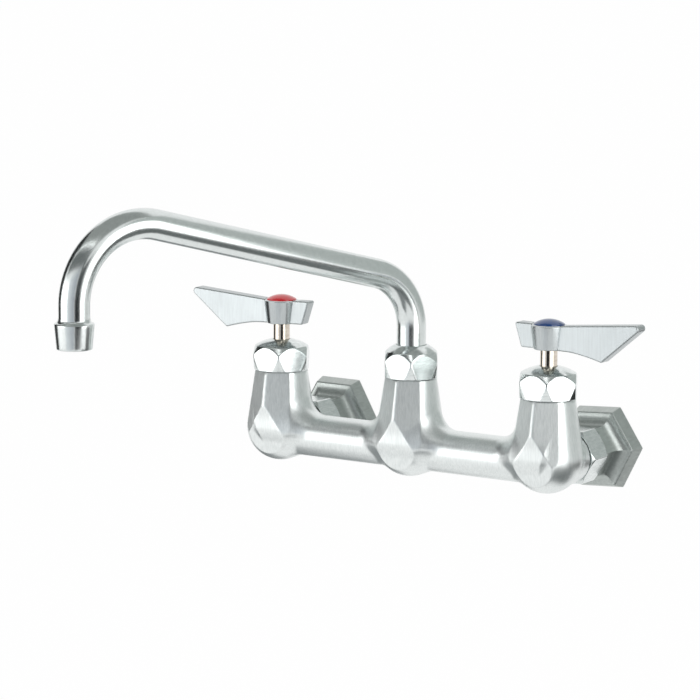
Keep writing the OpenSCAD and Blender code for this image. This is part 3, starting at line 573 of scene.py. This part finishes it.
def leverOutline():
    v = lever
    under = []
    start = v["hubLow"] + v["underStart"]
    for share in np.linspace(0, 1, 9):
        run = start + (v["cornerReach"] - start) * share
        under.append((run, -v["sink"] - (v["cornerDrop"] - v["sink"]) * share ** 1.5))
    points = [(-v["stubReach"], v["stubTop"]), (v["bladeStart"], v["bladeTop"]), (v["tipReach"], v["tipTop"])]
    points += under[::-1] + [(v["stubSlant"] - v["stubReach"], v["stubLift"])]
    radii = [1.3, 0.0, v["tipRadius"], 1.6] + [0.0] * 7 + [3.0, 1.4]
    return fillLine(roundCorners(points, radii, 9), 2.0)


def leverBlade(name):
    v = lever
    outline = np.array(leverOutline())
    ahead = np.roll(outline, -1, axis=0) - np.roll(outline, 1, axis=0)
    ahead /= np.linalg.norm(ahead, axis=1)[:, None]
    inward = np.stack([ahead[:, 1], -ahead[:, 0]], axis=1)
    middle = outline.mean(axis=0)
    if ((middle - outline) * inward).sum() < 0:
        inward = -inward
    rings = []
    half = v["thickness"] / 2 + v["flare"] / 2 * np.abs(outline[:, 0])
    for side in (-1, 1):
        for angle in (np.linspace(0, 90, 8) if side < 0 else np.linspace(90, 0, 8)):
            a = math.radians(angle)
            line = outline + inward * v["edgeRound"] * (1 - math.sin(a))
            depth = side * (half - v["edgeRound"] * (1 - math.cos(a)))
            rings.append(np.stack([line[:, 0], depth, line[:, 1]], axis=1))
    return skinRings(name, np.array(rings), 30, closedAlong=False)


def hubProfile():
    v = lever
    points = [(0.0, 0.0), (v["hubLow"], 0.0), (v["hubTop"], v["rimHeight"]), (v["rimTop"], v["hubHeight"]),
              (0.0, v["hubHeight"])]
    return roundCorners(points, [0, 0.5, 0.4, 0.2, 0], 4)


def solidTurned(name, profile, around=96):
    # a solid of revolution with its two ends on the axis
    angles = np.linspace(0, 2 * math.pi, around, endpoint=False)
    inner = [p for p in profile if p[0] > 1e-6]
    rings = [np.stack([r * np.cos(angles), r * np.sin(angles), np.full(around, h)], axis=1) for r, h in inner]
    return skinRings(name, np.array(rings), 30, closedAlong=False)


def makeLever(name, x, turn):
    v = lever
    below, above = -5.0, 30.0  # well clear of the lever
    piece = leverBlade(name)
    carve(piece, solidTurned(name + "Hub", hubProfile(), 128), "UNION")
    holes = (("Recess", v["recessRadius"], v["recessFloor"], above),
             ("Seat", v["seatRadius"], v["hubHeight"], above),
             ("Socket", v["socketRadius"], below, v["socketTop"]),
             ("Hole", v["screwHole"], 5.0, 12.0))
    for part, radius, low, high in holes:
        carve(piece, solidTurned(name + part, [(0.0, low), (radius, low), (radius, high), (0.0, high)]))
    # the blade and the stub are ground flat and duller, the hub between them is turned and brighter
    flats = piece.data.attributes.new("flats", "FLOAT", "FACE")
    reach = [math.hypot(face.center.x, face.center.y) / mm for face in piece.data.polygons]
    flats.data.foreach_set("value", [0.0 if r < v["hubTop"] + v["duller"] else 1.0 for r in reach])
    piece.data.transform(Matrix.Translation((x * mm, axisY * mm, v["hubBase"] * mm)) @
                         Matrix.Rotation(math.radians(turn), 4, "Z"))
    smoothPiece(piece, 28)
    # keeps the big flats flat up to their rounded edges
    step = piece.modifiers.new("evenShade", "WEIGHTED_NORMAL")
    step.keep_sharp = True
    applySteps(piece)
    return piece


leverSpecs = (("hotLeverBlade", -valveX, lever["hotTurn"], "hot_handle", "hot_lever"),
              ("coldLeverBlade", valveX, lever["coldTurn"], "cold_handle", "cold_lever"))
for name, x, turn, body, node in leverSpecs:
    finishPiece(makeLever(name, x, turn), body, "plated_lever", leverPlate, node)
print("levers made")


# coloured caps over the lever screws
button = {"radius": 10.0, "dome": 3.6, "rim": 0.5, "plugRadius": 8.5, "plugDepth": 2.6, "tip": 0.05}


def buttonProfile():
    b = button
    high = b["dome"] - b["rim"]
    ball = (b["radius"] ** 2 + high ** 2) / (2 * high)
    points = [(b["plugRadius"], -b["plugDepth"]), (b["plugRadius"], 0.0), (b["radius"], 0.0)]
    for share in np.linspace(0.02, 1, 24):
        radius = b["radius"] * (1 - share) + b["tip"] * share
        points.append((radius, b["dome"] - ball + math.sqrt(ball ** 2 - radius ** 2)))
    return points


buttonSpecs = (("hotIndexCap", "hot_index_button", -valveX, "hot_handle", "button_red", buttonRed),
               ("coldIndexCap", "cold_index_button", valveX, "cold_handle", "button_blue", buttonBlue))
for name, node, x, body, slotName, material in buttonSpecs:
    cap = solidTurned(name, buttonProfile(), 96)
    cap.data.transform(Matrix.Translation((x * mm, axisY * mm, (lever["hubBase"] + lever["hubHeight"]) * mm)))
    finishPiece(cap, body, slotName, material, node)
print("index buttons made")


# wall flanges, measured out from the wall
flange = {"flat": 26.4, "bandTaper": 2.4, "bandDepth": 9.0, "lip": 0.5, "cove": 7.6, "neck": 15.6,
          "depth": 25.0, "hole": 9.2, "holeDepth": 16.0, "socket": 10.95, "shoulder": 0.15}


def flangeProfile():
    f = flange
    start = f["bandDepth"] + f["lip"]
    outer = [(f["flat"], 0.0), (f["flat"] - f["bandTaper"], f["bandDepth"])]
    outer += arcBetween((f["neck"] + f["cove"], start + f["cove"]), f["cove"], 270, 180, 12)
    outer += [(f["neck"], f["depth"])]
    radii = [0.25, 0.35] + [0.0] * 13 + [0.5]
    outer = roundCorners(outer, radii, 4, closed=False)
    inner = [(f["socket"], f["depth"]), (f["socket"], f["holeDepth"] + f["shoulder"]),
             (f["hole"], f["holeDepth"]), (f["hole"], 0.0)]
    outer = fillLine(outer, 0.8, closed=False)
    return outer + inner, [1.0] * len(outer) + [0.0] * len(inner)


faceWall = Matrix.Rotation(math.pi / 2, 3, "X")
# each with its node, place across, and turn in degrees
for name, node, x, turn in (("hotWallFlange", "hot_flange", -valveX, -0.3),
                            ("coldWallFlange", "cold_flange", valveX, 3.5)):
    profile, share = flangeProfile()
    piece = turnedPiece(name, profile, around=180, sides=6, hexShare=share, cornerSoft=0.016,
                        turn=30 + turn, move=(x, 0, 0), tilt=faceWall, sharpAngle=30)
    finishPiece(piece, "faucet", "plated_flange", flangePlate, node)

# the nuts behind the valves, measured from their wall side
unionNut = {"flat": 17.0, "length": 19.8, "front": 45.7, "bevel": 2.0, "bore": 13.55, "step": 12.3,
            "hole": 10.95, "proud": 0.2}
u = unionNut
corner = u["flat"] / math.cos(math.pi / 6)
ledge = u["length"] - u["step"]
unionProfile = [(corner - u["bevel"], 0.0), (corner + u["proud"], u["bevel"] + u["proud"]),
                (corner + u["proud"], u["length"] - u["bevel"] - u["proud"]),
                (corner - u["bevel"], u["length"]),
                (u["bore"], u["length"]), (u["bore"], ledge), (u["hole"], ledge), (u["hole"], 0.0)]
unionProfile = fillLine(roundCorners(unionProfile, [0.4, 0.6, 0.6, 0.4, 0, 0, 0, 0], 4), 0.6)
for name, node, x in (("hotUnionNut", "hot_union_nut", -valveX),
                      ("coldUnionNut", "cold_union_nut", valveX)):
    piece = turnedPiece(name, unionProfile, around=180, sides=6, flat=u["flat"], edgeSoft=0.5, turn=30,
                        move=(x, -(u["front"] - u["length"]), 0), tilt=faceWall, sharpAngle=50)
    finishPiece(piece, "faucet", "plated_nut", nutPlate, node)
print("flanges and union nuts made")


# the swinging spout; armHeight is where the arm's line crosses the riser's
spout = {"reach": 254.0, "radius": 9.525, "wall": 1.1, "armHeight": 108.9, "slope": 13.8,
         "riserBend": 38.6, "outletBend": 46.8, "base": 30.0, "end": 95.5, "turn": 20.4}


def spoutPath():
    s = spout
    slope = math.radians(s["slope"])
    riserTop = s["armHeight"] - s["riserBend"] * math.tan((math.pi / 2 - slope) / 2)
    armEnd = s["armHeight"] + s["reach"] * math.tan(slope)
    outletTop = armEnd - s["outletBend"] * math.tan((math.pi / 2 + slope) / 2)
    line = [(0.0, h) for h in np.linspace(s["base"], riserTop, 8)[:-1]]
    line += arcBetween((s["riserBend"], riserTop), s["riserBend"], 180, 90 + s["slope"], 28)
    arm = arcBetween((s["reach"] - s["outletBend"], outletTop), s["outletBend"], 90 + s["slope"], 0, 40)
    start, end = np.array(line[-1]), np.array(arm[0])
    line += [tuple(start + (end - start) * k / 16) for k in range(1, 16)]
    line += arm
    line += [(s["reach"], h) for h in np.linspace(outletTop, s["end"], 5)[1:]]
    return np.array(line)


def sweepTube(name, line, outer, inner, around=96):
    # the line lies in the XZ plane
    ahead = np.gradient(line, axis=0)
    ahead /= np.linalg.norm(ahead, axis=1)[:, None]
    angles = np.linspace(0, 2 * math.pi, around, endpoint=False)
    rings = []
    for radius, order in ((outer, 1), (inner, -1)):
        for point, along in list(zip(line, ahead))[::order]:
            side = np.array([along[1], -along[0]])
            flat = point[None, :] + radius * np.cos(angles)[:, None] * side[None, :]
            rings.append(np.stack([flat[:, 0], radius * np.sin(angles), flat[:, 1]], axis=1))
    return skinRings(name, np.array(rings), 40)


alongArm = Matrix.Translation((0, axisY * mm, 0)) @ Matrix.Rotation(math.radians(-90 - spout["turn"]), 4, "Z")
tube = sweepTube("spoutTubeBent", spoutPath(), spout["radius"], spout["radius"] - spout["wall"])
tube.data.transform(alongArm)
finishPiece(tube, "spout", "plated_tube", tubePlate, "spout_tube")

# the collar round the outlet, with a hollow of braze where it meets the tube
collar = {"base": 86.2, "height": 15.3, "low": 10.8, "top": 12.2, "braze": 2.7, "mouth": 7.4,
          "mouthDepth": 6.3, "edgeDrop": 0.1, "edgeRise": 0.25, "edgeWidth": 0.35, "gap": 0.05}
k = collar
skin = spout["radius"] + k["gap"]
brazeTop = k["height"] + k["edgeWidth"] + k["braze"]
collarProfile = [(k["low"], 0.0), (k["top"], k["height"] - k["edgeDrop"]),
                 (k["top"] - k["edgeWidth"], k["height"] + k["edgeRise"])]
collarProfile += arcBetween((skin + k["edgeDrop"] + k["braze"], brazeTop), k["braze"], 255, 180, 8)
collarProfile += [(skin, brazeTop), (skin, k["mouthDepth"]), (k["mouth"], k["mouthDepth"]), (k["mouth"], 0.0)]
collarProfile = fillLine(roundCorners(collarProfile, [0.5, 0.15] + [0.0] * 13 + [0.4], 4), 1.5)
piece = turnedPiece("spoutCollarTurned", collarProfile, around=120, move=(spout["reach"], 0, k["base"]),
                    sharpAngle=34)
piece.data.transform(alongArm)
finishPiece(piece, "spout", "plated_collar", tubePlate, "spout_collar")
print("spout made")

# the parts inside keep the meshes of the frame, each with its own material
hiddenParts = ((stemPlate, ("hot_stem", "cold_stem")),
               (turnedBrass, ("hot_cartridge", "cold_cartridge", "hot_tailpiece", "cold_tailpiece",
                              "spout_ferrule")),
               (screwSteel, ("hot_lever_screw", "cold_lever_screw")),
               (discCeramic, ("hot_fixed_disc", "cold_fixed_disc", "hot_turning_disc", "cold_turning_disc")),
               (sealRubber, ("hot_bonnet_seal", "cold_bonnet_seal", "hot_stem_seal", "cold_stem_seal",
                             "hot_seat_washer", "cold_seat_washer", "spout_lower_seal", "spout_upper_seal")),
               (washerFibre, ("hot_union_washer", "cold_union_washer")),
               (glideAcetal, ("spout_glide_ring",)),
               (straightenerAcetal, ("spout_straightener",)))
for material, nodes in hiddenParts:
    for node in nodes:
        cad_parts[node].data.materials.clear()
        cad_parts[node].data.materials.append(material)
print("inner parts finished")


def addCamera():
    view = {"place": (0.9645, -1.6402, 0.3438), "azimuth": 32.84, "elevation": 8.66, "roll": 0.33,
            "lens": 147.7}
    a, e, roll = (math.radians(view[name]) for name in ("azimuth", "elevation", "roll"))
    ahead = Vector((-math.sin(a) * math.cos(e), math.cos(a) * math.cos(e), -math.sin(e)))
    right = Vector((math.cos(a), math.sin(a), 0))
    up = right.cross(ahead)
    right, up = right * math.cos(roll) + up * math.sin(roll), up * math.cos(roll) - right * math.sin(roll)
    camera = bpy.data.objects.new("camera", bpy.data.cameras.new("camera"))
    bpy.context.scene.collection.objects.link(camera)
    camera.data.lens = view["lens"]
    camera.data.sensor_width = 36
    camera.data.clip_end = 50
    turn = Matrix((right, up, -ahead)).transposed().to_4x4()
    camera.matrix_world = Matrix.Translation(view["place"]) @ turn
    bpy.context.scene.camera = camera


def turnTo(place, aim):
    return (Vector(aim) - Vector(place)).to_track_quat("-Z", "Y").to_euler()


def addSoftbox(name, place, aim, size, glow):
    # glow is what the front of the box shows in polished metal, where 1 is paper white
    light = bpy.data.lights.new(name, "AREA")
    light.shape = "RECTANGLE"
    light.size, light.size_y = size
    light.energy = glow * math.pi * size[0] * size[1]
    lamp = bpy.data.objects.new(name, light)
    bpy.context.scene.collection.objects.link(lamp)
    lamp.location = place
    lamp.rotation_euler = turnTo(place, aim)


def addCard(name, place, aim, size, hexText, otherHex=None):
    # a plain grey card that only polished metal sees; with two colours it fades from its left to its right
    w, h = size[0] / 2, size[1] / 2
    mesh = bpy.data.meshes.new(name)
    mesh.from_pydata([(-w, -h, 0), (w, -h, 0), (w, h, 0), (-w, h, 0)], [], [(0, 1, 2, 3)])
    card = bpy.data.objects.new(name, mesh)
    bpy.context.scene.collection.objects.link(card)
    card.location = place
    card.rotation_euler = turnTo(place, aim)
    paper = bpy.data.materials.new(name + "Paper")
    paper.use_nodes = True
    tree = paper.node_tree
    tree.nodes.remove(tree.nodes["Principled BSDF"])
    glow = addNode(tree, "ShaderNodeEmission", {"Color": linear(hexText)})
    if otherHex:
        spot = addNode(tree, "ShaderNodeTexCoord")
        across = addNode(tree, "ShaderNodeSeparateXYZ", {}, {"Vector": spot.outputs["Generated"]})
        fade = addNode(tree, "ShaderNodeMix",
                       {"data_type": "RGBA", 6: linear(hexText), 7: linear(otherHex)},
                       {0: across.outputs["X"]})
        tree.links.new(fade.outputs[2], glow.inputs["Color"])
    tree.links.new(glow.outputs[0], tree.nodes["Material Output"].inputs["Surface"])
    mesh.materials.append(paper)
    card.visible_camera = False
    card.visible_shadow = False
    card.visible_diffuse = False


addCamera()
middle = (0, -0.1, 0.05)
addSoftbox("softboxLeft", (-0.82, -1.15, 0.12), middle, (1.05, 0.62), 1.5)
addSoftbox("softboxRight", (0.46, -0.205, 0.145), (0, -0.12, 0.1), (0.3, 0.4), 1.8)
addSoftbox("stripTop", (-0.1, -0.85, 1.05), middle, (1.6, 0.05), 2.2)
addCard("cardFront", (0.22, -0.47, 0.035), (0, -0.1, 0.035), (0.27, 0.15), "#2C2E2F")
addCard("cardRight", (0.42, -0.62, 0.16), middle, (0.36, 0.34), "#4A4D4E")
addCard("cardBehind", (0.48, 0.25, -0.15), middle, (0.7, 0.13), "#2E3030")
addCard("cardMiddle", (0.1, -1.2, 0.1), middle, (0.9, 0.9), "#F2F6FA", "#A6ABB3")
addCard("cardLeft", (-1.15, -0.25, 0.35), middle, (0.8, 1.45), "#303232")
addCard("cardHigh", (-0.1, -1.1, 0.85), middle, (2.6, 0.45), "#6E7272")
addCard("cardTop", (0, -0.3, 1.4), middle, (2.6, 1.6), "#9A9E9C")
addCard("cardLow", (0.38, -0.08, -0.27), (0.1, -0.1, 0.0), (0.55, 0.34), "#6E7272")
addCard("cardUnderRight", (0.2, -0.31, -0.34), (0, -0.1, 0.0), (0.6, 0.2), "#85898A")
addCard("cardUnderLeft", (-0.36, 0.0, -0.3), (0, -0.1, 0.0), (0.5, 0.3), "#8B8F90")
addCard("cardBack", (0.75, 0.6, 0.5), middle, (2.0, 1.2), "#BCC1BF")


def straightRays(tree):
    # 1 for rays from the camera and for mirrored or passed-on ones, 0 for the rays that light the scene
    ray = addNode(tree, "ShaderNodeLightPath")
    seen = addNode(tree, "ShaderNodeMath", {"operation": "MAXIMUM"},
                   {0: ray.outputs["Is Camera Ray"], 1: ray.outputs["Is Glossy Ray"]})
    return addNode(tree, "ShaderNodeMath", {"operation": "MAXIMUM"},
                   {0: seen.outputs[0], 1: ray.outputs["Is Transmission Ray"]})


world = bpy.data.worlds.new("studio")
bpy.context.scene.world = world
world.use_nodes = True
tree = world.node_tree
back = tree.nodes["Background"]
back.inputs["Color"].default_value = (0.9, 0.9, 0.9, 1)
back.inputs["Strength"].default_value = 1.0
plain = addNode(tree, "ShaderNodeBackground", {"Color": (1, 1, 1, 1), "Strength": 1.0})
mixed = addNode(tree, "ShaderNodeMixShader", {},
                {0: straightRays(tree).outputs[0], 1: back.outputs[0], 2: plain.outputs[0]})
tree.links.new(mixed.outputs[0], tree.nodes["World Output"].inputs["Surface"])

floorMesh = bpy.data.meshes.new("floor")
half, floorHeight, ownWhite = 40, -0.42, 0.93  # metres, metres, share of paper white seen whatever the light
corners = [(-half, -half, 0), (half, -half, 0), (half, half, 0), (-half, half, 0)]
floorMesh.from_pydata(corners, [], [(0, 1, 2, 3)])
floor = bpy.data.objects.new("floor", floorMesh)
bpy.context.scene.collection.objects.link(floor)
floor.location = (0, 0, floorHeight)
paperLook = {"Base Color": linear("#FFFFFF"), "Roughness": 0.8}
floorPaint, tree, shader = startMaterial("whitePaperFloor", paperLook)
share = addNode(tree, "ShaderNodeMath", {"operation": "MULTIPLY", 1: ownWhite},
                {0: straightRays(tree).outputs[0]})
paper = addNode(tree, "ShaderNodeEmission", {"Color": (1, 1, 1, 1), "Strength": 1.0})
mixed = addNode(tree, "ShaderNodeMixShader", {},
                {0: share.outputs[0], 1: shader.outputs[0], 2: paper.outputs[0]})
tree.links.new(mixed.outputs[0], tree.nodes["Material Output"].inputs["Surface"])
floorMesh.materials.append(floorPaint)

bpy.context.scene.view_settings.view_transform = "Standard"
print("studio set")
